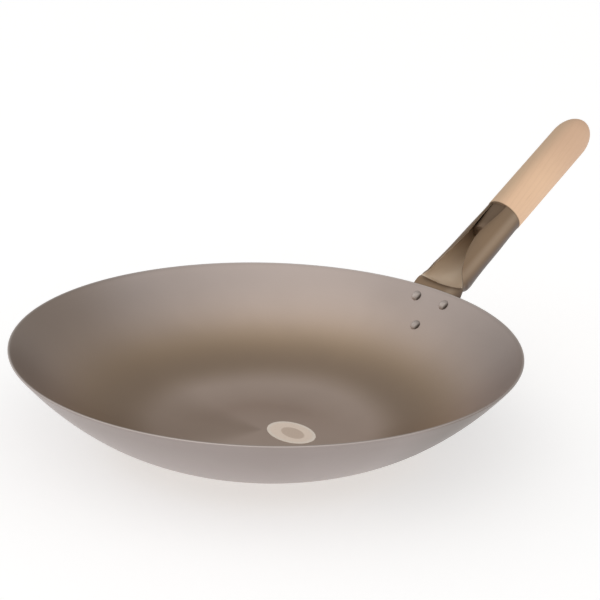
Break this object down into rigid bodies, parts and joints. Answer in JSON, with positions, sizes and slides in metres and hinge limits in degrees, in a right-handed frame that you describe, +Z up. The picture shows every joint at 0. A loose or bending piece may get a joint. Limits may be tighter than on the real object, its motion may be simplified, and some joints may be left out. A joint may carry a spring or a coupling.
{
  "type": "wok",
  "caption": "Round-walled steel wok with a small flat base and one long handle: a rolled steel socket riveted to the wall and a turned wooden grip.",
  "frame": {"origin": "centre of the bowl's flat underside, which rests on the hob", "axes": "+Z up, +X along the handle as seen from above, +Y to the left of the handle"},
  "size_m": [0.5326, 0.3556, 0.1908],
  "materials": {
    "bowl_steel": "satin, heat tinted",
    "socket_steel": "satin, lacquered",
    "grip_wood": "bare, sanded",
    "screw_steel": "bright",
    "rivet_steel": "satin",
    "label_paper": "matt"
  },
  "bodies": {
    "root": {"bowl": "bowl_steel", "handle_socket": "socket_steel", "wooden_grip": "grip_wood", "grip_screw": "screw_steel", "rivet_left": "rivet_steel", "rivet_right": "rivet_steel", "rivet_lower": "rivet_steel", "paper_label": "label_paper"}
  },
  "joints": []
}
